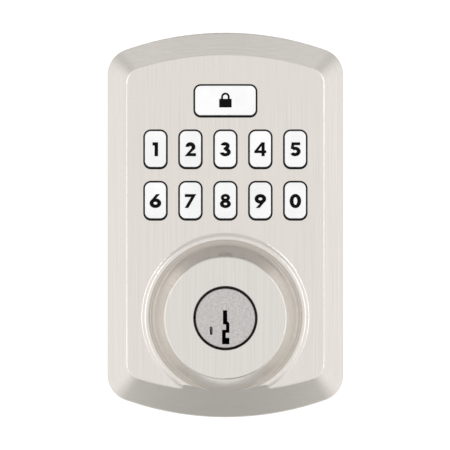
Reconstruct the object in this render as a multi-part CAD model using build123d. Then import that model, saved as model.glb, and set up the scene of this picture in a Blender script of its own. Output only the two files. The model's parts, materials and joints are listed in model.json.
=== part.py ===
from build123d import *
import math
import os

# Outside half of an electronic deadbolt: a cast escutcheon with a ten-digit keypad and a
# lock button, and below it a re-keyable pin cylinder behind a conical guard.
# Millimetres.  +Z up, the street side faces -Y, the origin is on the cylinder's axis in
# the plane of the door.  Depths are Y values: "front" is nearer the street than "back".

# --- driving dimensions ---------------------------------------------------------------
PLATE_WIDTH = 74.0
PLATE_HEIGHT = 120.8
PLATE_CENTRE_Z = 28.5
PLATE_ARC = 94.0
PLATE_CORNER = 8.4

FACE_WIDTH = 61.5
FACE_HEIGHT = 104.9
FACE_CENTRE_Z = PLATE_CENTRE_Z + 0.5
FACE_ARC = 92.0
FACE_CORNER = 5.3

FACE_Y = -18.0
BEVEL_DEPTH = 4.5
FACE_EDGE_ROUND = 0.8
OUTER_EDGE_ROUND = 0.8
WALL = 2.5
GASKET_THICKNESS = 1.0
BACK_PLATE_THICKNESS = 1.5

KEY_PITCH_X = 10.88
KEY_PITCH_Z = 16.0
KEY_ROWS_Z = (PLATE_CENTRE_Z + 23.55, PLATE_CENTRE_Z + 23.55 - KEY_PITCH_Z)
KEY_OPENING = (7.65, 12.45, 2.4)
BUTTON_OPENING = (19.95, 10.45, 2.3)
BUTTON_Z = PLATE_CENTRE_Z + 38.65
RIM_WIDTH = 0.45
RIM_FOOT_EXTRA = 0.2
KEY_GAP = 0.1
KEY_PROUD = 0.85

GUARD_FRONT_Y = -28.5
GUARD_FRONT_RADIUS = 18.8
GUARD_BASE_RADIUS = 23.3
GUARD_HOLE_RADIUS = 9.75
GUARD_BORE_RADIUS = 14.2
GUARD_NECK_RADIUS = 21.5
GUARD_EDGE_ROUND = 0.45
GUARD_LIP = 0.15
GUARD_FACE_THICKNESS = 2.6

RIM_FOOT_RADIUS = 26.4
RIM_HOLLOW = 1.3
RIM_CROWN = 1.7
RIM_LEAN = 40.0

PLUG_PROUD = 0.2
PLUG_HEAD_RADIUS = 9.05
PLUG_HEAD_BACK_Y = -19.85
PLUG_RADIUS = 8.65
RUNNING_GAP = 0.05
TUMBLERS = 5
TUMBLER_PITCH = 3.8
FIRST_TUMBLER_Y = -22.0
PIN_X = -0.1

DRILL_PIN_RADIUS = 0.98
DRILL_PIN_CIRCLE = 11.4

BOLT_SPACING = 41.0
POST_RADIUS = 4.2
POST_END_Y = 14.0
BOLT_RADIUS = 2.0
BOLT_DEPTH = 20.0

BLADE_RADIUS = 3.15
BLADE_END_Y = 60.0

# --- depths that follow from them -----------------------------------------------------
BEVEL_Y = FACE_Y + BEVEL_DEPTH
ROOF_Y = FACE_Y + WALL
SHELL_BACK_Y = -GASKET_THICKNESS
BACK_PLATE_Y = SHELL_BACK_Y - BACK_PLATE_THICKNESS
CAVITY_KNEE_Y = -12.4
FRAME_BACK_Y = ROOF_Y + 0.8
FLANGE_FRONT_Y = FRAME_BACK_Y + 0.1
FLANGE_BACK_Y = FLANGE_FRONT_Y + 0.7
STEM_BACK_Y = -13.0
GUIDE_FRONT_Y = -12.95
GUIDE_BACK_Y = -12.05
BOARD_FRONT_Y = -10.6
BOARD_BACK_Y = -9.0
SWITCH_FRONT_Y = -12.2
SEAT_Y = FACE_Y + 1.0
RIM_SHOULDER_Y = FACE_Y - RIM_HOLLOW * (1 - math.cos(math.radians(RIM_LEAN)))
GUARD_INNER_Y = GUARD_FRONT_Y + GUARD_FACE_THICKNESS
HOUSING_FRONT_Y = GUARD_INNER_Y + 0.1
HOUSING_BACK_Y = 3.0
FLANGE_OF_HOUSING_Y = -12.0

# --- places of repeated pieces --------------------------------------------------------
SHELL_BOSSES = [(x, z) for x in (-29.5, 29.5) for z in (74.6, -16.4)]
BOARD_BOSSES = [(x, z) for x in (-28.8, 28.8) for z in (30.1, 67.5)]
GUARD_SCREWS = [(0, 17.8), (0, -17.8)]
POSTS = [(-BOLT_SPACING / 2, 0), (BOLT_SPACING / 2, 0)]
FRAME_SIZE = (51.2, 43.8)
FRAME_CENTRE_Z = 51.1
GUIDE_FEET = [(x, z) for x in (-16.2, -5.4, 5.4, 16.2) for z in (44.05, 60.1)]
BOARD_SIZE = (62.0, 44.4)
BOARD_CENTRE_Z = 49.0
CABLE_SLOT = (16.0, 15.0, 3.0)
CABLE_SLOT_Z = 26.1
SOCKET_Z = 31.6


# --- drawing helpers ------------------------------------------------------------------
def front_plane(y):
    """Drawing plane at depth y: x to the right, z up, facing the street."""
    return Plane(origin=(0, y, 0), x_dir=(1, 0, 0), z_dir=(0, -1, 0))


def slab(shape, front, back):
    """A flat outline made solid between two depths."""
    return extrude(front_plane(back) * shape, amount=back - front, dir=(0, -1, 0))


def disc(radius, front, back, x=0, z=0):
    """A round bar along Y."""
    return slab(Pos(x, z) * Circle(radius), front, back)


def block(size_x, size_z, front, back, x=0, z=0, corner=0):
    """A bar of rectangular section along Y, with rounded corners if asked for."""
    if corner:
        return slab(Pos(x, z) * RectangleRounded(size_x, size_z, corner), front, back)
    return slab(Pos(x, z) * Rectangle(size_x, size_z), front, back)


def bar(x_range, y_range, z_range):
    """A plain box between two values on each axis."""
    spans = [high - low for low, high in (x_range, y_range, z_range)]
    middle = [(low + high) / 2 for low, high in (x_range, y_range, z_range)]
    return Pos(*middle) * Box(*spans)


def upright(radius, low, high, x, y):
    """A round bar along Z."""
    return Pos(x, y, (low + high) / 2) * Cylinder(radius, high - low)


def turned(*edges):
    """A closed profile of (radius, y) edges turned about the cylinder's axis."""
    return revolve(make_face(edges), axis=Axis.Y)


def arched_outline(width, height, arc, corner, centre_z, inset=0):
    """Plate outline: straight sides, shallow arcs at top and bottom, rounded corners."""
    half_w, half_h = width / 2 - inset, height / 2 - inset
    arc, corner = arc - inset, corner - inset
    cx = half_w - corner
    cz = half_h - arc + math.sqrt((arc - corner) ** 2 - cx ** 2)
    lean = math.atan2(cx, cz - (half_h - arc))
    end = (arc * math.sin(lean), half_h - arc + arc * math.cos(lean))
    middle = (math.pi / 2 - lean) / 2
    bend = (cx + corner * math.cos(middle), cz + corner * math.sin(middle))

    edges = [Line((half_w, -cz), (half_w, cz))]
    edges.append(ThreePointArc((half_w, cz), bend, end))
    edges.append(ThreePointArc(end, (0, half_h), (-end[0], end[1])))
    edges.append(ThreePointArc((-end[0], end[1]), (-bend[0], bend[1]), (-half_w, cz)))
    edges.append(Line((-half_w, cz), (-half_w, -cz)))
    edges.append(ThreePointArc((-half_w, -cz), (-bend[0], -bend[1]), (-end[0], -end[1])))
    edges.append(ThreePointArc((-end[0], -end[1]), (0, -half_h), (end[0], -end[1])))
    edges.append(ThreePointArc((end[0], -end[1]), (bend[0], -bend[1]), (half_w, -cz)))
    return Pos(0, centre_z) * make_face(edges)


def plate_outline(inset=0):
    return arched_outline(PLATE_WIDTH, PLATE_HEIGHT, PLATE_ARC, PLATE_CORNER, PLATE_CENTRE_Z, inset)


def face_outline(inset=0):
    return arched_outline(FACE_WIDTH, FACE_HEIGHT, FACE_ARC, FACE_CORNER, FACE_CENTRE_Z, inset)


def tapered(outline_back, back, outline_front, front):
    """Straight-sided taper from one outline to another nearer the street."""
    return loft([front_plane(back) * outline_back, front_plane(front) * outline_front], ruled=True)


def coil(radius, wire_radius, length, turns):
    """A coil spring standing on the origin along Z."""
    path = Helix(pitch=length / turns, height=length, radius=radius)
    wire = Plane(path @ 0, z_dir=path % 0) * Circle(wire_radius)
    return sweep(wire, path=path)


def cross_recess(size, depth, back, x, z):
    """Phillips recess cut into a screw head from behind."""
    long_arm = block(size, size / 4, back - depth, back + 0.01, x, z)
    short_arm = block(size / 4, size, back - depth, back + 0.01, x, z)
    return long_arm + short_arm


def pan_screw(x, z, seat, tip, shank_radius, head_radius, head_height):
    """Pan-head screw driven from behind towards the street."""
    head = disc(head_radius, seat, seat + head_height, x, z)
    head = fillet(head.edges().sort_by(Axis.Y)[-1], head_height * 0.4)
    screw = head + disc(shank_radius, tip, seat, x, z)
    return screw - cross_recess(head_radius * 1.2, head_height * 0.6, seat + head_height, x, z)


def countersink(x, z, back, radius, depth):
    """Flat cone, wide end at the back, for a flush screw head."""
    narrow = front_plane(back - depth) * Pos(x, z) * Circle(radius - depth)
    wide = front_plane(back) * Pos(x, z) * Circle(radius)
    return loft([wide, narrow], ruled=True)


# --- places of the keys ---------------------------------------------------------------
def key_places():
    """(node suffix, x, z) of each digit key, in reading order."""
    places = []
    for row, digits in enumerate(("12345", "67890")):
        for column, digit in enumerate(digits):
            places.append((digit, (column - 2) * KEY_PITCH_X, KEY_ROWS_Z[row]))
    return places


def all_openings():
    """(x, z, opening size) of every opening in the keypad."""
    openings = [(x, z, KEY_OPENING) for _, x, z in key_places()]
    return openings + [(0, BUTTON_Z, BUTTON_OPENING)]


# --- shell ----------------------------------------------------------------------------
def make_rim():
    """Low ring round the guard, cut off at the bottom by the line of the lower bevel."""
    inner, root = GUARD_BASE_RADIUS - 0.3, FACE_Y + 1
    foot, hollow, crown, lean = RIM_FOOT_RADIUS, RIM_HOLLOW, RIM_CROWN, math.radians(RIM_LEAN)
    join = (foot - hollow * math.sin(lean), RIM_SHOULDER_Y)
    half = (foot - hollow * math.sin(lean / 2), FACE_Y - hollow * (1 - math.cos(lean / 2)))
    centre = (join[0] - crown * math.sin(lean), join[1] + crown * math.cos(lean))
    top = (centre[0], centre[1] - crown)
    end = (centre[0] - crown * math.sin(lean), join[1])
    edges = [
        Line((inner, root), (inner, end[1])),
        Line((inner, end[1]), end),
        ThreePointArc(end, top, join),
        ThreePointArc(join, half, (foot, FACE_Y)),
        Line((foot, FACE_Y), (foot, root)),
        Line((foot, root), (inner, root)),
    ]
    reach, inset = 1.5, 0.05
    narrow = arched_outline(
        PLATE_WIDTH - reach * (PLATE_WIDTH - FACE_WIDTH),
        PLATE_HEIGHT - reach * (PLATE_HEIGHT - FACE_HEIGHT),
        FACE_ARC - 1,
        FACE_CORNER - 1.5,
        PLATE_CENTRE_Z + reach * (FACE_CENTRE_Z - PLATE_CENTRE_Z),
        inset,
    )
    envelope = tapered(plate_outline(inset), BEVEL_Y, narrow, FACE_Y - (reach - 1) * BEVEL_DEPTH)
    return turned(*edges) & envelope


def edges_at(solid, y):
    """The edges of a solid that lie wholly at one depth."""
    boxes = [(edge, edge.bounding_box()) for edge in solid.edges()]
    return [edge for edge, box in boxes if abs(box.min.Y - y) < 0.001 and abs(box.max.Y - y) < 0.001]


def make_escutcheon():
    """Cast shell with a wide bevel round its face, rim, bosses and openings."""
    shell = slab(plate_outline(), BEVEL_Y, SHELL_BACK_Y)
    shell += tapered(plate_outline(), BEVEL_Y, face_outline(), FACE_Y)
    shell = fillet(edges_at(shell, FACE_Y), FACE_EDGE_ROUND)
    shell = fillet(edges_at(shell, BEVEL_Y), OUTER_EDGE_ROUND)
    shell += make_rim()
    cavity = slab(plate_outline(WALL), CAVITY_KNEE_Y, SHELL_BACK_Y)
    cavity += tapered(plate_outline(WALL), CAVITY_KNEE_Y, face_outline(), ROOF_Y)
    shell -= cavity
    for x, z in SHELL_BOSSES:
        shell += disc(3.2, ROOF_Y - 0.1, BACK_PLATE_Y, x, z)
        shell -= disc(1.25, -12, BACK_PLATE_Y, x, z)
    for x, z in BOARD_BOSSES:
        shell += disc(2.4, ROOF_Y - 0.1, BOARD_FRONT_Y, x, z)
        shell -= disc(1.25, -14.6, BOARD_FRONT_Y, x, z)
    shell -= disc(GUARD_BASE_RADIUS, FACE_Y - 2, SEAT_Y)
    shell -= disc(GUARD_NECK_RADIUS + 0.2, SEAT_Y, ROOF_Y)
    for x, z, (width, height, corner) in all_openings():
        shell -= block(width, height, FACE_Y - 1, ROOF_Y, x, z, corner)
    return shell


def make_gasket():
    return slab(plate_outline(0.5), SHELL_BACK_Y, 0) - slab(plate_outline(4.5), SHELL_BACK_Y, 0)


def make_back_plate():
    plate = slab(plate_outline(WALL + 0.3), BACK_PLATE_Y, SHELL_BACK_Y)
    plate -= disc(14.3, BACK_PLATE_Y, SHELL_BACK_Y)
    for x, z in POSTS:
        plate -= disc(POST_RADIUS + 0.4, BACK_PLATE_Y, SHELL_BACK_Y, x, z)
    width, height, corner = CABLE_SLOT
    plate -= block(width, height, BACK_PLATE_Y, SHELL_BACK_Y, 0, CABLE_SLOT_Z, corner)
    for x, z in SHELL_BOSSES:
        plate -= disc(1.6, BACK_PLATE_Y, SHELL_BACK_Y, x, z)
        plate -= countersink(x, z, SHELL_BACK_Y, 2.7, 1.2)
    return plate


def make_back_plate_screws():
    screws = []
    for x, z in SHELL_BOSSES:
        screw = countersink(x, z, SHELL_BACK_Y, 2.65, 1.2) + disc(1.2, -10.5, SHELL_BACK_Y - 1, x, z)
        screws.append(screw - cross_recess(2.6, 0.8, SHELL_BACK_Y, x, z))
    return screws


# --- keypad ---------------------------------------------------------------------------
def cap_block(x, z, opening, gap, front, back):
    """Space inside a rim of the keypad frame, whose lower side is the thickest."""
    width, height, corner = opening
    size_x = width - 2 * (RIM_WIDTH + gap)
    size_z = height - 2 * (RIM_WIDTH + gap) - RIM_FOOT_EXTRA
    centre_z = z + RIM_FOOT_EXTRA / 2
    return block(size_x, size_z, front, back, x, centre_z, corner - RIM_WIDTH - gap)


def make_keypad_frame():
    """Black frame behind the escutcheon, with a rim up through every key opening."""
    frame = block(*FRAME_SIZE, ROOF_Y, FRAME_BACK_Y, 0, FRAME_CENTRE_Z, 1.5)
    for x, z, (width, height, corner) in all_openings():
        frame += block(width - 0.05, height - 0.05, FACE_Y - 0.12, FRAME_BACK_Y, x, z, corner)
    for x, z, opening in all_openings():
        frame -= cap_block(x, z, opening, 0, FACE_Y - 1, FRAME_BACK_Y)
    for x, z in GUIDE_FEET:
        frame += disc(0.9, FRAME_BACK_Y, GUIDE_FRONT_Y, x, z)
    return frame


def make_keypad_seal():
    """Soft ring round the keypad frame that keeps rain out of the shell."""
    width, height = FRAME_SIZE
    outer = block(width + 1.4, height + 1.4, ROOF_Y, FRAME_BACK_Y, 0, FRAME_CENTRE_Z, 2.2)
    return outer - block(width, height, ROOF_Y, FRAME_BACK_Y, 0, FRAME_CENTRE_Z, 1.5)


def make_key(x, z, opening, dome_radius):
    """Domed cap with a retaining flange behind the frame and a stem to the switch."""
    width, height, corner = opening
    top = FACE_Y - KEY_PROUD
    cap = cap_block(x, z, opening, KEY_GAP, top, FLANGE_FRONT_Y)
    cap &= Pos(x, top + dome_radius, z) * Sphere(dome_radius)
    front_edges = cap.faces().sort_by(Axis.Y)[0].edges()
    cap = fillet(front_edges, 0.25)
    flange = (width + 0.85, height + 0.9)
    cap += block(*flange, FLANGE_FRONT_Y, FLANGE_BACK_Y, x, z, corner)
    return cap + disc(1.5, FLANGE_BACK_Y, STEM_BACK_Y, x, z)


def make_switch_plunger(x, z):
    return disc(1.15, STEM_BACK_Y, -11.7, x, z)


def make_light_guide():
    """Clear sheet that spreads the light of the lamps behind the keys."""
    guide = block(*FRAME_SIZE, GUIDE_FRONT_Y, GUIDE_BACK_Y, 0, FRAME_CENTRE_Z, 1.5)
    for x, z, _ in all_openings():
        guide -= disc(3.3, GUIDE_FRONT_Y, GUIDE_BACK_Y, x, z)
    for x, z in GUIDE_FEET:
        guide += disc(0.9, GUIDE_BACK_Y, BOARD_FRONT_Y, x, z)
    return guide


def make_tact_switches():
    switches = []
    for x, z, _ in all_openings():
        body = block(4.5, 4.5, SWITCH_FRONT_Y, BOARD_FRONT_Y, x, z, 0.4)
        switches.append(body - disc(1.2, SWITCH_FRONT_Y, BOARD_FRONT_Y - 0.2, x, z))
    return switches


def make_backlight_lamps():
    places = [(x, z) for z in KEY_ROWS_Z for x in (-16.2, -5.4, 5.4, 16.2)]
    places += [(-13, BUTTON_Z), (13, BUTTON_Z)]
    return [block(1.6, 0.8, BOARD_FRONT_Y - 0.6, BOARD_FRONT_Y, x, z) for x, z in places]


def make_keypad_board():
    board = block(*BOARD_SIZE, BOARD_FRONT_Y, BOARD_BACK_Y, 0, BOARD_CENTRE_Z, 2)
    for x, z in BOARD_BOSSES:
        board -= disc(1.45, BOARD_FRONT_Y, BOARD_BACK_Y, x, z)
    return board


def make_board_screws():
    return [pan_screw(x, z, BOARD_BACK_Y, -14.2, 1.2, 2.1, 1.4) for x, z in BOARD_BOSSES]


def make_controller_chip():
    """Square package with leads down all four sides."""
    x, z, size = -12, 52, 9
    chip = block(size, size, BOARD_BACK_Y + 0.1, BOARD_BACK_Y + 1.3, x, z)
    for index in range(11):
        step = (index - 5) * 0.75
        chip += block(size + 2, 0.3, BOARD_BACK_Y, BOARD_BACK_Y + 0.3, x, z + step)
        chip += block(0.3, size + 2, BOARD_BACK_Y, BOARD_BACK_Y + 0.3, x + step, z)
    return chip


def make_board_components():
    """Resistors and capacitors in two rows, a regulator, a crystal and a round capacitor."""
    parts = []
    for index in range(8):
        x = -22 + index * 2.6
        parts.append(block(1.6, 0.8, BOARD_BACK_Y, BOARD_BACK_Y + 0.5, x, 43.0))
        parts.append(block(1.6, 0.8, BOARD_BACK_Y, BOARD_BACK_Y + 0.8, x, 61.5))
    parts.append(block(6.5, 3.5, BOARD_BACK_Y, BOARD_BACK_Y + 1.6, 10, 37))
    parts.append(block(3.2, 2.5, BOARD_BACK_Y, BOARD_BACK_Y + 0.9, -2.5, 52, 0.3))
    parts.append(disc(2.5, BOARD_BACK_Y, BOARD_BACK_Y + 5.4, 20, 38))
    return parts


def make_buzzer():
    can = disc(5.5, BOARD_BACK_Y, BOARD_BACK_Y + 4.0, 14, 53)
    can = fillet(can.edges().sort_by(Axis.Y)[-1], 0.5)
    return can - disc(1.0, BOARD_BACK_Y + 3.0, BOARD_BACK_Y + 4.0, 14, 53)


def make_cable_socket():
    """Open header for the cable to the inside unit; its mouth faces the door."""
    shell = block(13, 6.6, BOARD_BACK_Y, BOARD_BACK_Y + 5.6, 0, SOCKET_Z, 0.5)
    shell -= block(11.4, 5.0, BOARD_BACK_Y + 1, BOARD_BACK_Y + 5.6, 0, SOCKET_Z)
    return shell - block(4, 2, BOARD_BACK_Y + 1, BOARD_BACK_Y + 5.6, 0, SOCKET_Z - 3.0)


def make_socket_pins():
    floor = BOARD_BACK_Y + 1
    places = [((column - 2) * 2.0, SOCKET_Z + dz) for column in range(5) for dz in (-1, 1)]
    return [block(0.5, 0.5, floor, floor + 3.6, x, z) for x, z in places]


# --- cylinder -------------------------------------------------------------------------
def make_cylinder_guard():
    """Turned cone round the cylinder; its foot drops into the seat in the escutcheon."""
    front, back = GUARD_FRONT_Y, ROOF_Y - 0.1
    hole, bore, neck = GUARD_HOLE_RADIUS, GUARD_BORE_RADIUS, GUARD_NECK_RADIUS
    face_r, base_r = GUARD_FRONT_RADIUS, GUARD_BASE_RADIUS
    edge, lip = GUARD_EDGE_ROUND, GUARD_LIP
    shoulder = (face_r + 0.2 * edge, front + edge)
    profile = [
        Line((hole, front + lip), (hole + lip, front)),
        Line((hole + lip, front), (face_r - edge, front)),
        ThreePointArc((face_r - edge, front), (face_r - 0.22 * edge, front + 0.3 * edge), shoulder),
        Line(shoulder, (base_r, RIM_SHOULDER_Y)),
        Line((base_r, RIM_SHOULDER_Y), (base_r, SEAT_Y)),
        Line((base_r, SEAT_Y), (neck, SEAT_Y)),
        Line((neck, SEAT_Y), (neck, back)),
        Line((neck, back), (bore, back)),
        Line((bore, back), (bore, GUARD_INNER_Y)),
        Line((bore, GUARD_INNER_Y), (hole, GUARD_INNER_Y)),
        Line((hole, GUARD_INNER_Y), (hole, front + lip)),
    ]
    guard = turned(*profile)
    for x, z in GUARD_SCREWS:
        guard -= disc(1.5, -22, ROOF_Y, x, z)
    return guard


def drill_pin_places():
    angles = [math.radians(degrees) for degrees in (50, 90, 130, 230, 310)]
    return [(DRILL_PIN_CIRCLE * math.cos(a), DRILL_PIN_CIRCLE * math.sin(a)) for a in angles]


def make_cylinder_housing():
    """Shell that the plug turns in, with a clamping flange and two through-bolt posts."""
    front, flange_y = HOUSING_FRONT_Y, FLANGE_OF_HOUSING_Y
    housing = disc(14.0, front, HOUSING_BACK_Y) + disc(23.2, ROOF_Y, flange_y)
    for x, z in POSTS:
        housing += disc(POST_RADIUS, ROOF_Y, POST_END_Y, x, z)
        housing += block(10, 5, flange_y, -6, x * 0.72, z)
    housing -= disc(GUARD_HOLE_RADIUS, front, -21.5)
    housing -= disc(PLUG_HEAD_RADIUS + RUNNING_GAP, front, PLUG_HEAD_BACK_Y + RUNNING_GAP)
    housing -= disc(PLUG_RADIUS + RUNNING_GAP, PLUG_HEAD_BACK_Y, HOUSING_BACK_Y)
    groove = Polygon((-8.3, -1.4), (-9.7, -0.5), (-9.7, 0.5), (-8.3, 1.4), align=None)
    housing -= slab(groove, -24.5, -3.8)
    for x, z in POSTS:
        housing -= disc(BOLT_RADIUS, POST_END_Y - BOLT_DEPTH, POST_END_Y, x, z)
    for x, z in GUARD_SCREWS:
        housing -= disc(1.7, ROOF_Y, flange_y, x, z)
    for x, z in drill_pin_places():
        housing -= disc(DRILL_PIN_RADIUS + 0.02, front, front + 7.6, x, z)
    return housing


def make_drill_pins():
    front = HOUSING_FRONT_Y + RUNNING_GAP
    return [disc(DRILL_PIN_RADIUS, front, front + 7.4, x, z) for x, z in drill_pin_places()]


def make_guard_screws():
    return [pan_screw(x, z, FLANGE_OF_HOUSING_Y, -21, 1.45, 2.7, 1.8) for x, z in GUARD_SCREWS]


def keyway_shape():
    """Section of the keyway with its two wards, seen from the street."""
    points = [
        (-0.75, 2.45), (0.53, 2.45), (0.58, -0.82), (1.22, -1.55), (1.22, -4.45), (0.1, -4.45),
        (0.1, -5.97), (1.22, -5.97), (1.22, -7.95), (-1.03, -7.95), (-1.03, -3.52), (0.17, -3.52),
        (0.17, -1.9), (-0.75, -1.9),
    ]
    return make_face(Polyline(*points, close=True))


def tumbler_places():
    return [FIRST_TUMBLER_Y + index * TUMBLER_PITCH for index in range(TUMBLERS)]


def make_plug():
    """Turning core with keyway, tumbler chambers, rack cavity and sidebar slot."""
    front = GUARD_FRONT_Y - PLUG_PROUD
    head = disc(PLUG_HEAD_RADIUS, front, PLUG_HEAD_BACK_Y)
    head = chamfer(head.edges().sort_by(Axis.Y)[0], 0.2)
    plug = head + disc(PLUG_RADIUS, PLUG_HEAD_BACK_Y, 3.2) + disc(7.5, 3.2, 4.4) + disc(8.6, 4.4, 5.4)
    plug -= slab(keyway_shape(), front - 1, -2)
    plug -= slab(Pos(-4.35, -3.8) * Rot(0, 0, 90) * SlotOverall(2.55, 0.85), front - 1, -23.4)
    plug -= bar((-4.95, -3.0), (-23.5, -5.3), (-5.4, 6.4))
    plug -= bar((-1.8, 2.0), (-24.0, -4.5), (7.6, 9.5))
    plug -= bar((-9.5, -5.05), (-24.8, -3.9), (-1.15, 1.15))
    for y in (-24.2, -4.6):
        plug -= Pos(-4.0, y, 0) * Rot(0, 90, 0) * Cylinder(0.55, 2.4)
    for y in tumbler_places():
        plug -= upright(1.45, 2.6, 7.7, PIN_X, y)
        plug -= upright(0.6, 1.8, 2.7, PIN_X, y)
        plug -= bar((-3.05, -1.2), (y - 0.75, y + 0.75), (2.9, 6.0))
    for x in (-5.2, 5.2):
        plug -= disc(1.05, 3.4, 5.4, x)
    return plug


def make_spring_cover():
    """Strip that closes the spring chambers along the top of the plug."""
    strip = bar((-1.75, 1.95), (-23.95, -4.55), (7.65, 9.5))
    return strip & disc(PLUG_RADIUS - 0.05, -24, -4)


def make_tumbler_pin(y):
    """Follower: a body in the chamber and a nose that the key's cut lifts."""
    nose = upright(0.5, -0.8, 2.7, PIN_X, y)
    nose = fillet(nose.edges().sort_by(Axis.Z)[0], 0.3)
    return nose + upright(1.4, 2.7, 4.4, PIN_X, y)


def make_tumbler_rack(y):
    """Toothed wafer beside the follower, with a tongue into the chamber's window."""
    rack = bar((-4.9, -3.05), (y - 1.3, y + 1.3), (-5.2, 4.4))
    for index in range(7):
        low = -4.4 + index * 1.2
        rack -= bar((-4.9, -4.5), (y - 1.3, y + 1.3), (low, low + 0.5))
    return rack + bar((-3.05, -1.6), (y - 0.65, y + 0.65), (3.1, 3.9))


def make_tumbler_springs():
    bottom, top, wire = 4.4, 7.6, 0.17
    spring = coil(1.05, wire, top - bottom - 2 * wire, 4)
    return [Pos(PIN_X, y, bottom + wire) * spring for y in tumbler_places()]


def make_sidebar():
    """Locking bar at nine o'clock, with a chamfered nose for the housing's groove."""
    section = Polygon(
        (-5.1, -1.1), (-7.9, -1.1), (-8.55, -0.35), (-8.55, 0.35), (-7.9, 1.1), (-5.1, 1.1), align=None
    )
    return slab(section, -24.75, -4.0)


def make_sidebar_springs():
    spring = Rot(0, 90, 0) * coil(0.36, 0.09, 1.95, 5)
    return [Pos(-5.1 + 0.12, y, 0) * spring for y in (-24.2, -4.6)]


def make_retaining_clip():
    """Open ring in the groove at the back of the plug."""
    ring = disc(10.4, 3.25, 4.35) - disc(7.55, 3.25, 4.35)
    return ring - bar((-3, 3), (3, 5), (-12, 0))


def half_round(radius):
    """Section of the torque blade: a half disc with its flat side up."""
    return Circle(radius) & Pos(0, -radius / 2) * Rectangle(2 * radius, radius)


def make_drive_cam():
    cam = disc(7.5, 5.4, 8.4)
    cam -= slab(half_round(BLADE_RADIUS + RUNNING_GAP), 6, 8.4)
    cam -= block(2 * (BLADE_RADIUS + RUNNING_GAP), RUNNING_GAP * 2, 6, 8.4)
    for x in (-5.2, 5.2):
        cam += disc(1.0, 3.45, 5.4, x)
    return cam


def make_torque_blade():
    blade = slab(half_round(BLADE_RADIUS), 6.1, BLADE_END_Y)
    return chamfer(blade.faces().sort_by(Axis.Y)[-1].edges(), 0.4)


# --- all nodes ------------------------------------------------------------------------
def make_nodes():
    nodes = {
        "escutcheon": make_escutcheon(),
        "gasket": make_gasket(),
        "back_plate": make_back_plate(),
        "back_plate_screws": make_back_plate_screws(),
        "keypad_frame": make_keypad_frame(),
        "keypad_seal": make_keypad_seal(),
        "light_guide": make_light_guide(),
        "tact_switches": make_tact_switches(),
        "backlight_lamps": make_backlight_lamps(),
        "keypad_board": make_keypad_board(),
        "board_screws": make_board_screws(),
        "controller_chip": make_controller_chip(),
        "board_components": make_board_components(),
        "buzzer": make_buzzer(),
        "cable_socket": make_cable_socket(),
        "socket_pins": make_socket_pins(),
        "cylinder_guard": make_cylinder_guard(),
        "cylinder_housing": make_cylinder_housing(),
        "drill_pins": make_drill_pins(),
        "guard_screws": make_guard_screws(),
        "plug": make_plug(),
        "spring_cover": make_spring_cover(),
        "tumbler_springs": make_tumbler_springs(),
        "sidebar": make_sidebar(),
        "sidebar_springs": make_sidebar_springs(),
        "retaining_clip": make_retaining_clip(),
        "drive_cam": make_drive_cam(),
        "torque_blade": make_torque_blade(),
    }
    for digit, x, z in key_places():
        nodes[f"key_{digit}"] = make_key(x, z, KEY_OPENING, 50)
        nodes[f"switch_plunger_{digit}"] = make_switch_plunger(x, z)
    nodes["lock_button"] = make_key(0, BUTTON_Z, BUTTON_OPENING, 110)
    nodes["switch_plunger_lock"] = make_switch_plunger(0, BUTTON_Z)
    for index, y in enumerate(tumbler_places(), start=1):
        nodes[f"tumbler_pin_{index}"] = make_tumbler_pin(y)
        nodes[f"tumbler_rack_{index}"] = make_tumbler_rack(y)
    return nodes


def solids_of(item):
    """The solids of a shape or of a list of shapes."""
    shapes = item if isinstance(item, list) else [item]
    return [solid for shape in shapes for solid in shape.solids()]


os.makedirs("parts", exist_ok=True)
for name, item in make_nodes().items():
    export_step(Compound(children=solids_of(item), label=name), f"parts/{name}.step")
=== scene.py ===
import json
import math

import bmesh
import bpy
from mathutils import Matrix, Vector


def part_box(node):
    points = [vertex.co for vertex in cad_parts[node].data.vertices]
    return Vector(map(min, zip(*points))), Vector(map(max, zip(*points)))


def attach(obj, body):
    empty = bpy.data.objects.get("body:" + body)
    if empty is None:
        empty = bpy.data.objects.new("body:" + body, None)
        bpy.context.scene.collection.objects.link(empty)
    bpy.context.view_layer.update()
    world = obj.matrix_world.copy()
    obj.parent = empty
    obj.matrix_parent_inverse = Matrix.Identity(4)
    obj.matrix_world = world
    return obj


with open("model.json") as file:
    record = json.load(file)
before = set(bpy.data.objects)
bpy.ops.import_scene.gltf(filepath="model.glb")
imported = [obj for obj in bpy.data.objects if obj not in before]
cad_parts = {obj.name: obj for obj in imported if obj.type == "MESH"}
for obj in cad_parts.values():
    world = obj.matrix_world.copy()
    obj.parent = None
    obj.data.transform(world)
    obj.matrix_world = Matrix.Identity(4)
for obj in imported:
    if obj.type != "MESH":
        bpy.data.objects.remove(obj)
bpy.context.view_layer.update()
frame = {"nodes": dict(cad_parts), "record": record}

MM = 0.001

PLATE_LOW, PLATE_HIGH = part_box("escutcheon")
PLATE_CENTRE = (PLATE_LOW + PLATE_HIGH) / 2


# --- material helpers -----------------------------------------------------------------
# Sockets of the Mix node by place, because its data types share their names.
MIX_SHARE, MIX_VALUES, MIX_COLOURS = 0, (2, 3), (6, 7)
MIXED_VALUE, MIXED_COLOUR = 0, 2

NOISE_RANGE = (0.3, 0.7)  # noise stays near one half
METAL_GRAIN_DEPTH = 0.02 * MM
PLASTIC_GRAIN_DEPTH = 0.01 * MM
BLOTCHES = (60, 60, 60)
TONE_PATCHES = (90, 90, 90)
STREAK_NOISE = {"detail": 3.0, "roughness": 0.65}
LEAN_RANGE = (0.2, 0.4)  # upward share of the normal, over which streaks turn level
# Painted shade: near black on the plug deep in the keyway, where shade falls.
KEYWAY_PAINTED_SHADE = (0.012, 0.012, 0.012)
PAINTED_SHADE_STARTS, PAINTED_SHADE_FULL = 0.25 * MM, 0.9 * MM  # depths behind the plug's face where the painted keyway shade begins and where it is full


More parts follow.
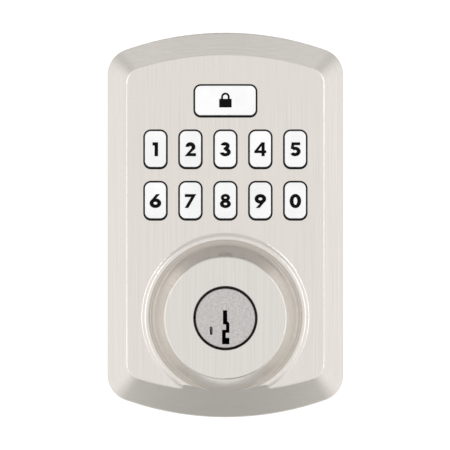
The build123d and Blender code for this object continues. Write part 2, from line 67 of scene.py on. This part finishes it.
def add_node(tree, kind, links=(), **settings):
    """A shader node with its properties set; links are (input, socket or value)."""
    node = tree.nodes.new(kind)
    for name, value in settings.items():
        setattr(node, name, value)
    for name, value in links:
        if isinstance(value, bpy.types.NodeSocket):
            tree.links.new(value, node.inputs[name])
        else:
            node.inputs[name].default_value = value
    return node


def new_material(name, colour, metallic, roughness, **extra):
    """A Principled material; returns the material, its tree and its shader node."""
    material = bpy.data.materials.new(name)
    material.use_nodes = True
    tree = material.node_tree
    shader = tree.nodes["Principled BSDF"]
    shader.inputs["Base Color"].default_value = (*colour, 1)
    shader.inputs["Metallic"].default_value = metallic
    shader.inputs["Roughness"].default_value = roughness
    for key, value in extra.items():
        shader.inputs[key.replace("_", " ")].default_value = value
    return material, tree, shader


def coordinate(tree, space, axis):
    """One component of a texture coordinate."""
    place = add_node(tree, "ShaderNodeTexCoord")
    parts = add_node(tree, "ShaderNodeSeparateXYZ", (("Vector", place.outputs[space]),))
    return parts.outputs[axis]


def share_between(tree, value, low, high):
    """Turns a value into 0 at low and 1 at high."""
    links = (("Value", value), ("From Min", low), ("From Max", high))
    return add_node(tree, "ShaderNodeMapRange", links).outputs["Result"]


def noise(tree, scales, detail=2.0, roughness=0.5):
    """Noise in the part's own space, stretched by a scale along each axis, in 1/m."""
    place = add_node(tree, "ShaderNodeTexCoord")
    links = (("Vector", place.outputs["Object"]), ("Scale", scales))
    mapping = add_node(tree, "ShaderNodeMapping", links)
    links = (
        ("Vector", mapping.outputs["Vector"]),
        ("Scale", 1.0),
        ("Detail", detail),
        ("Roughness", roughness),
    )
    return add_node(tree, "ShaderNodeTexNoise", links).outputs["Fac"]


def scaled(colour, factor):
    return tuple(min(1.0, channel * factor) for channel in colour)


def tone_ramp(tree, value, colour, factors, places=NOISE_RANGE):
    """A colour that moves between two multiples of itself with a noise value."""
    ramp = add_node(tree, "ShaderNodeValToRGB", (("Fac", value),))
    for element, factor, place in zip(ramp.color_ramp.elements, factors, places):
        element.position = place
        element.color = (*scaled(colour, factor), 1)
    return ramp.outputs["Color"]


def vary_colour(tree, shader, value, colour, factors):
    tones = tone_ramp(tree, value, colour, factors)
    tree.links.new(tones, shader.inputs["Base Color"])


def vary_roughness(tree, shader, value, roughness, change):
    """Roughness that a noise value moves up and down by the same amount."""
    links = (
        ("Value", value),
        ("From Min", NOISE_RANGE[0]),
        ("From Max", NOISE_RANGE[1]),
        ("To Min", roughness - change),
        ("To Max", roughness + change),
    )
    spread = add_node(tree, "ShaderNodeMapRange", links)
    tree.links.new(spread.outputs["Result"], shader.inputs["Roughness"])


def add_bump(tree, shader, value, strength, depth):
    links = (("Height", value), ("Strength", strength), ("Distance", depth))
    bump = add_node(tree, "ShaderNodeBump", links)
    tree.links.new(bump.outputs["Normal"], shader.inputs["Normal"])


def turn_streaks(tree, upright, level):
    """Upright streaks on upright faces, level ones where the surface leans up or down."""
    up = coordinate(tree, "Normal", "Z")
    lean = add_node(tree, "ShaderNodeMath", ((0, up),), operation="ABSOLUTE")
    share = share_between(tree, lean.outputs["Value"], *LEAN_RANGE)
    links = ((MIX_SHARE, share), (MIX_VALUES[0], upright), (MIX_VALUES[1], level))
    return add_node(tree, "ShaderNodeMix", links).outputs[MIXED_VALUE]


def brushed_metal(name, colour, roughness, scales, streak=0.03, turned_scales=None):
    """Satin metal with fine streaks along the axis whose scale is small."""
    material, tree, shader = new_material(name, colour, 1.0, roughness)
    streaks = noise(tree, scales, **STREAK_NOISE)
    if turned_scales:
        streaks = turn_streaks(tree, streaks, noise(tree, turned_scales, **STREAK_NOISE))
    vary_colour(tree, shader, streaks, colour, (1 - streak, 1 + streak))
    vary_roughness(tree, shader, noise(tree, BLOTCHES), roughness, 0.02)
    add_bump(tree, shader, streaks, 0.12, METAL_GRAIN_DEPTH)
    return material


def grained_metal(name, colour, roughness, grain):
    """Cast or plated metal with an even fine grain."""
    material, tree, shader = new_material(name, colour, 1.0, roughness)
    fine = noise(tree, (grain, grain, grain), detail=4.0, roughness=0.7)
    vary_colour(tree, shader, fine, colour, (0.94, 1.06))
    vary_roughness(tree, shader, fine, roughness, 0.05)
    add_bump(tree, shader, fine, 0.2, METAL_GRAIN_DEPTH)
    return material


def sintered_plug(name, colour, roughness, grain):
    """Grained face metal; everything behind the face is painted near black as shade in the
    keyway.
    """
    material, tree, shader = new_material(name, colour, 1.0, roughness)
    fine = noise(tree, (grain, grain, grain), detail=3.0, roughness=0.6)
    face = tone_ramp(tree, fine, colour, (0.84, 1.16), (0.32, 0.68))
    face_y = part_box("plug")[0].y
    # Painted shade: the face colour gives way to near black deeper in the keyway.
    y = coordinate(tree, "Object", "Y")
    share = share_between(tree, y, face_y + PAINTED_SHADE_STARTS, face_y + PAINTED_SHADE_FULL)
    links = ((MIX_SHARE, share), (MIX_COLOURS[0], face), (MIX_COLOURS[1], (*KEYWAY_PAINTED_SHADE, 1)))
    blend = add_node(tree, "ShaderNodeMix", links, data_type="RGBA")
    tree.links.new(blend.outputs[MIXED_COLOUR], shader.inputs["Base Color"])
    vary_roughness(tree, shader, fine, roughness, 0.05)
    add_bump(tree, shader, fine, 0.35, METAL_GRAIN_DEPTH)
    return material


def moulded_plastic(name, colour, roughness, grain=2500, relief=0.15, **extra):
    """Plastic or rubber with a fine moulded texture and a little change of tone."""
    material, tree, shader = new_material(name, colour, 0.0, roughness, **extra)
    patches = noise(tree, TONE_PATCHES)
    vary_colour(tree, shader, patches, colour, (0.94, 1.05))
    vary_roughness(tree, shader, patches, roughness, 0.03)
    fine = noise(tree, (grain, grain, grain), detail=3.0)
    add_bump(tree, shader, fine, relief, PLASTIC_GRAIN_DEPTH)
    return material


# --- materials ------------------------------------------------------------------------
NICKEL = (0.675, 0.64, 0.60)
TURNED = (0.65, 0.625, 0.59)
UPRIGHT = (3000, 3000, 28)
LEVEL = (28, 3000, 3000)

# Colour, roughness and scales of the streaks along each axis.
BRUSHED = {
    "screw_steel": ((0.6, 0.61, 0.63), 0.3, (900, 4000, 900)),
    "spring_steel": ((0.5, 0.5, 0.51), 0.3, (3000, 3000, 300)),
    "blade_steel": ((0.6, 0.61, 0.63), 0.33, (3000, 60, 3000)),
    "rack_steel": ((0.3, 0.3, 0.31), 0.4, (3000, 3000, 200)),
    "cylinder_brass": ((0.72, 0.55, 0.27), 0.3, (400, 4000, 400)),
    # pin_steel is near black as painted shade of the keyway; the real pins are brass.
    "pin_steel": ((0.03, 0.03, 0.031), 0.5, (400, 400, 4000)),
    "contact_brass": ((0.8, 0.62, 0.3), 0.25, (400, 4000, 400)),
}

# Colour, roughness and scale of the grain.
GRAINED = {
    "zinc_plated_steel": ((0.6, 0.62, 0.65), 0.4, 400),
    "hardened_steel": ((0.36, 0.36, 0.38), 0.35, 1500),
    "zinc_cast": ((0.55, 0.56, 0.58), 0.45, 1500),
    "housing_zinc": ((0.12, 0.12, 0.125), 0.5, 900),
}

# Colour and roughness; for some also scale and relief of the texture.
MOULDED = {
    "gasket_rubber": ((0.03, 0.03, 0.033), 0.8, 1800, 0.8),
    "seal_rubber": ((0.08, 0.08, 0.08), 0.6),
    "plunger_black": ((0.02, 0.02, 0.02), 0.4),
    "chip_black": ((0.02, 0.02, 0.023), 0.5),
    "buzzer_black": ((0.025, 0.025, 0.025), 0.4),
    "switch_housing": ((0.05, 0.05, 0.05), 0.45),
    "socket_white": ((0.78, 0.76, 0.7), 0.4),
    "lamp_white": ((0.9, 0.87, 0.65), 0.25),
    "circuit_board": ((0.02, 0.16, 0.07), 0.3, 900, 0.3),
}

# Colour, roughness and the settings of the shader that differ from its defaults.
GLOSSED = {
    "black_plastic": ((0.004, 0.004, 0.0045), 0.5, {"Specular_IOR_Level": 0.12}),
    "key_white": ((0.83, 0.83, 0.835), 0.32, {"Coat_Weight": 0.3}),
    "clear_plastic": ((0.85, 0.87, 0.88), 0.15, {"Transmission_Weight": 0.8}),
    "legend_black": ((0.003, 0.003, 0.003), 0.55, {"Specular_IOR_Level": 0.05}),
}


def make_materials():
    """Every material, by its name; all but the legends' are named as slots are."""
    made = {
        "satin_nickel": brushed_metal("satin_nickel", NICKEL, 0.26, UPRIGHT, 0.045, LEVEL),
        "turned_nickel": brushed_metal("turned_nickel", TURNED, 0.18, UPRIGHT, 0.04),
        "plug_metal": sintered_plug("plug_metal", (0.49, 0.475, 0.46), 0.36, 1500),
    }
    for make, table in (
        (brushed_metal, BRUSHED),
        (grained_metal, GRAINED),
        (moulded_plastic, MOULDED),
    ):
        made.update({name: make(name, *values) for name, values in table.items()})
    for name, (colour, roughness, extra) in GLOSSED.items():
        made[name] = moulded_plastic(name, colour, roughness, **extra)
    return made


def dress_frame(materials):
    """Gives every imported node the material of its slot."""
    slots = {row["node"]: row["material_slot"] for row in frame["record"]["subparts"]}
    for name, node in frame["nodes"].items():
        node.data.materials.clear()
        node.data.materials.append(materials[slots[name]])


# --- legends --------------------------------------------------------------------------
DIGITS = "1234567890"
UPPER_ROW = "12345"
CAP = 4.3 * MM
LOWER_ROW_LIFT = -0.1 * MM
SYMBOL = 4.6 * MM
SYMBOL_LIFT = 0.2 * MM
LEGEND_PROUD = 0.03 * MM
LEGEND_DEEP = 0.3 * MM
STROKE = 0.28  # share of the numeral's height
LEVEL_STROKE = STROKE * 0.85  # where a round stroke runs level, it is thinner
ARC_STEPS = 28


def arc(centre, radii, start, end):
    """Points on an ellipse's arc, angles in degrees from +x."""
    points = []
    for index in range(ARC_STEPS + 1):
        angle = math.radians(start + (end - start) * index / ARC_STEPS)
        x = centre[0] + radii[0] * math.cos(angle)
        points.append((x, centre[1] + radii[1] * math.sin(angle)))
    return points


def band(centre, outer, inner, start, end):
    """A bent stroke between two ellipse arcs."""
    return arc(centre, outer, start, end) + arc(centre, inner, end, start)


def ring(centre, outer, inner):
    """A closed ring, as two half bands that share their ends."""
    return [band(centre, outer, inner, 0, 180), band(centre, outer, inner, 180, 360)]


def digit_outlines(digit):
    """Flat outlines that make up a numeral one unit tall, centred on the origin."""
    s, thin = STROKE, LEVEL_STROKE
    if digit == "0":
        return ring((0, 0), (0.415, 0.515), (0.415 - s, 0.515 - thin))
    if digit == "1":
        stem = [(-0.21, 0.5), (0.19, 0.5), (0.19, -0.5), (-0.06, -0.5)]
        return [stem + [(-0.06, 0.27), (-0.21, 0.27)]]
    if digit == "2":
        bowl = band((0, 0.165), (0.36, 0.35), (0.36 - s, 0.35 - s), 178, -32)
        leg = [(0.325, 0.02), (0.0, -0.28), (-0.41, -0.5), (0.08, 0.08), (0.11, 0.12)]
        return [bowl, leg, [(-0.41, -0.5), (0.4, -0.5), (0.4, -0.28), (-0.15, -0.28)]]
    if digit == "3":
        upper = band((-0.02, 0.235), (0.33, 0.28), (0.33 - s, 0.28 - thin), 165, -95)
        lower = band((-0.01, -0.205), (0.4, 0.31), (0.4 - s, 0.31 - thin), 95, -172)
        return [upper, lower, [(-0.13, 0.13), (0.06, 0.13), (0.06, -0.05), (-0.13, -0.05)]]
    if digit == "4":
        arm = [(-0.44, -0.28), (0.42, -0.28), (0.42, -0.08), (-0.16, -0.08), (0.1, 0.26)]
        arm += [(0.31, 0.5), (0.08, 0.5), (-0.44, -0.14)]
        return [arm, [(0.08, 0.5), (0.31, 0.5), (0.31, -0.5), (0.08, -0.5)]]
    if digit == "5":
        bar = [(-0.27, 0.5), (0.34, 0.5), (0.34, 0.29), (-0.1, 0.29)]
        stem = [(-0.27, 0.5), (-0.06, 0.5), (-0.13, 0.06), (-0.34, 0.02)]
        bowl = band((-0.02, -0.16), (0.4, 0.345), (0.4 - s, 0.345 - thin), 137, -150)
        return [bar, stem, bowl]
    if digit == "6":
        tail = [(-0.38, -0.02), (0.06, 0.5), (0.32, 0.5), (-0.06, 0.06), (-0.19, -0.1)]
        return ring((0, -0.155), (0.42, 0.35), (0.42 - s, 0.35 - s * 0.9)) + [tail]
    if digit == "7":
        leg = [(-0.4, 0.5), (0.42, 0.5), (-0.15, -0.5), (-0.41, -0.5)]
        return [leg + [(0.05, 0.29), (-0.4, 0.29)]]
    if digit == "8":
        upper = ring((0, 0.245), (0.335, 0.27), (0.335 - s * 0.85, 0.27 - s * 0.72))
        return upper + ring((0, -0.205), (0.395, 0.305), (0.395 - s * 0.95, 0.305 - s * 0.8))
    return [[(-x, -y) for x, y in outline] for outline in digit_outlines("6")]


def padlock_outlines():
    """A closed padlock: body, shackle and its two legs, one unit tall."""
    body = [(-0.42, -0.5), (0.42, -0.5), (0.42, 0.08), (-0.42, 0.08)]
    shackle = band((0, 0.2), (0.29, 0.3), (0.16, 0.17), 0, 180)
    left = [(-0.29, 0.05), (-0.16, 0.05), (-0.16, 0.2), (-0.29, 0.2)]
    right = [(-x, y) for x, y in left]
    return [body, shackle, left, right]


def prism(name, outline, front, back):
    """A closed solid from a flat outline (x, z), between two depths, all in metres."""
    area = 0.0
    for index, (x, z) in enumerate(outline):
        next_x, next_z = outline[(index + 1) % len(outline)]
        area += x * next_z - next_x * z
    points = outline if area > 0 else list(reversed(outline))
    work = bmesh.new()
    near = [work.verts.new((x, front, z)) for x, z in points]
    far = [work.verts.new((x, back, z)) for x, z in points]
    work.faces.new(near)
    work.faces.new(list(reversed(far)))
    count = len(points)
    for index in range(count):
        after = (index + 1) % count
        work.faces.new((near[after], near[index], far[index], far[after]))
    mesh = bpy.data.meshes.new(name)
    bmesh.ops.recalc_face_normals(work, faces=work.faces)
    work.to_mesh(mesh)
    work.free()
    piece = bpy.data.objects.new(name, mesh)
    bpy.context.scene.collection.objects.link(piece)
    return piece


def join_solids(pieces):
    """Unites overlapping solids into the first of them."""
    first, *others = pieces
    for other in others:
        union = first.modifiers.new("union", "BOOLEAN")
        union.operation = "UNION"
        union.solver = "EXACT"
        union.object = other
    if others:
        graph = bpy.context.evaluated_depsgraph_get()
        mesh = bpy.data.meshes.new_from_object(first.evaluated_get(graph))
        first.modifiers.clear()
        first.data = mesh
        for other in others:
            bpy.data.objects.remove(other)
    return first


def make_legend(name, outlines, node_name, body, height, lift, material):
    """A symbol printed on a key: flat outlines one unit tall, made solid at its front."""
    low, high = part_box(node_name)
    middle_x, middle_z = (low.x + high.x) / 2, (low.z + high.z) / 2 + lift
    front, back = low.y - LEGEND_PROUD, low.y + LEGEND_DEEP
    solids = []
    for index, outline in enumerate(outlines):
        placed = [(middle_x + x * height, middle_z + z * height) for x, z in outline]
        solids.append(prism(f"{name}_{index}", placed, front, back))
    legend = join_solids(solids)
    legend.name = name
    legend.data.materials.append(material)
    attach(legend, body)


def make_legends(material):
    for digit in DIGITS:
        lift = 0.0 if digit in UPPER_ROW else LOWER_ROW_LIFT
        outlines, key, body = digit_outlines(digit), f"key_{digit}", f"digit_{digit}"
        make_legend(f"legend_{digit}", outlines, key, body, CAP, lift, material)
    symbol = padlock_outlines()
    make_legend("padlock_symbol", symbol, "lock_button", "button", SYMBOL, SYMBOL_LIFT, material)


# --- studio ---------------------------------------------------------------------------
CAMERA_DISTANCE = 0.6
LENS = 149.55
SENSOR = 36
SHIFT_X = -0.0009

# Height of the direction looked in, 1 straight up, and strength; below 0 the first holds.
SKY_LEVELS = ((0.0, 1.1), (0.5, 1.06), (0.72, 0.7), (0.87, 0.95), (0.94, 0.93), (1.0, 0.35))

# Name, place on the right-hand side, size and radiance of each pair of lights.
LIGHT_PAIRS = (
    ("box", (0.95, -0.25, 0.10), (0.7, 0.9), 0.07),
    ("strip", (0.60, -0.85, 0.12), (0.16, 0.8), 1.9),
)
LIGHT_TARGET = (0, -0.02, PLATE_CENTRE.z)

FLOOR_Y = -0.09
FLOOR_Z = -0.125
FLOOR_RADIUS = 0.355
FLOOR_TONE = (0.6, 0.6, 0.595)
FLOOR_EDGE_GLOW = 0.6
FLOOR_STEPS = 96
GLOW_STARTS, GLOW_FULL = 0.08, 0.46  # shares of the floor's radius


def make_camera():
    data = bpy.data.cameras.new("camera")
    data.lens = LENS
    data.sensor_width = SENSOR
    camera = bpy.data.objects.new("camera", data)
    camera.location = (0, -CAMERA_DISTANCE, PLATE_CENTRE.z)
    camera.rotation_euler = (math.radians(90), 0, 0)
    data.shift_x = SHIFT_X
    bpy.context.scene.collection.objects.link(camera)
    bpy.context.scene.camera = camera


def add_light(name, place, target, size, radiance):
    """A soft box; radiance is what it adds to a mirror that faces it."""
    data = bpy.data.lights.new(name, "AREA")
    data.shape = "RECTANGLE"
    data.size, data.size_y = size
    data.energy = radiance * math.pi * size[0] * size[1]
    light = bpy.data.objects.new(name, data)
    light.location = place
    aim = Vector(target) - Vector(place)
    light.rotation_euler = aim.to_track_quat("-Z", "Y").to_euler()
    bpy.context.scene.collection.objects.link(light)


def make_world():
    """Soft light from all round, whose strength depends on height."""
    world = bpy.data.worlds.new("studio")
    world.use_nodes = True
    tree = world.node_tree
    height = coordinate(tree, "Generated", "Z")
    ramp = add_node(tree, "ShaderNodeValToRGB", (("Fac", height),))
    elements = ramp.color_ramp.elements
    while len(elements) < len(SKY_LEVELS):
        elements.new(0.5)
    for element, (z, level) in zip(elements, SKY_LEVELS):
        element.position = z
        element.color = (level, level, level, 1)
    background = tree.nodes["Background"]
    tree.links.new(ramp.outputs["Color"], background.inputs["Color"])
    background.inputs["Strength"].default_value = 1.0
    bpy.context.scene.world = world


def floor_material():
    """Pale floor that brightens towards its rim, where it meets the white surroundings."""
    material, tree, shader = new_material("floor_pale", FLOOR_TONE, 0.0, 0.7)
    place = add_node(tree, "ShaderNodeTexCoord")
    links = ((0, place.outputs["Object"]),)
    distance = add_node(tree, "ShaderNodeVectorMath", links, operation="LENGTH")
    links = (
        ("Value", distance.outputs["Value"]),
        ("From Min", GLOW_STARTS * FLOOR_RADIUS),
        ("From Max", GLOW_FULL * FLOOR_RADIUS),
        ("To Min", 0.0),
        ("To Max", FLOOR_EDGE_GLOW),
    )
    glow = add_node(tree, "ShaderNodeMapRange", links, interpolation_type="SMOOTHSTEP")
    shader.inputs["Emission Color"].default_value = (1, 1, 1, 1)
    tree.links.new(glow.outputs["Result"], shader.inputs["Emission Strength"])
    return material


def make_floor():
    """Round floor below the lock, whose own origin is its centre."""
    work = bmesh.new()
    rim = []
    for index in range(FLOOR_STEPS):
        angle = 2 * math.pi * index / FLOOR_STEPS
        x, y = FLOOR_RADIUS * math.cos(angle), FLOOR_RADIUS * math.sin(angle)
        rim.append(work.verts.new((x, y, 0)))
    work.faces.new(rim)
    mesh = bpy.data.meshes.new("floor")
    work.to_mesh(mesh)
    work.free()
    mesh.materials.append(floor_material())
    floor = bpy.data.objects.new("floor", mesh)
    floor.location = (0, FLOOR_Y, FLOOR_Z)
    bpy.context.scene.collection.objects.link(floor)


def make_studio():
    make_world()
    for side, side_name in ((-1, "left"), (1, "right")):
        for name, (x, y, z), size, radiance in LIGHT_PAIRS:
            add_light(f"{side_name}_{name}", (side * x, y, z), LIGHT_TARGET, size, radiance)
    bpy.context.scene.view_settings.view_transform = "Standard"


# --- assembly -------------------------------------------------------------------------
materials = make_materials()
dress_frame(materials)
make_legends(materials["legend_black"])
make_floor()
make_studio()
make_camera()
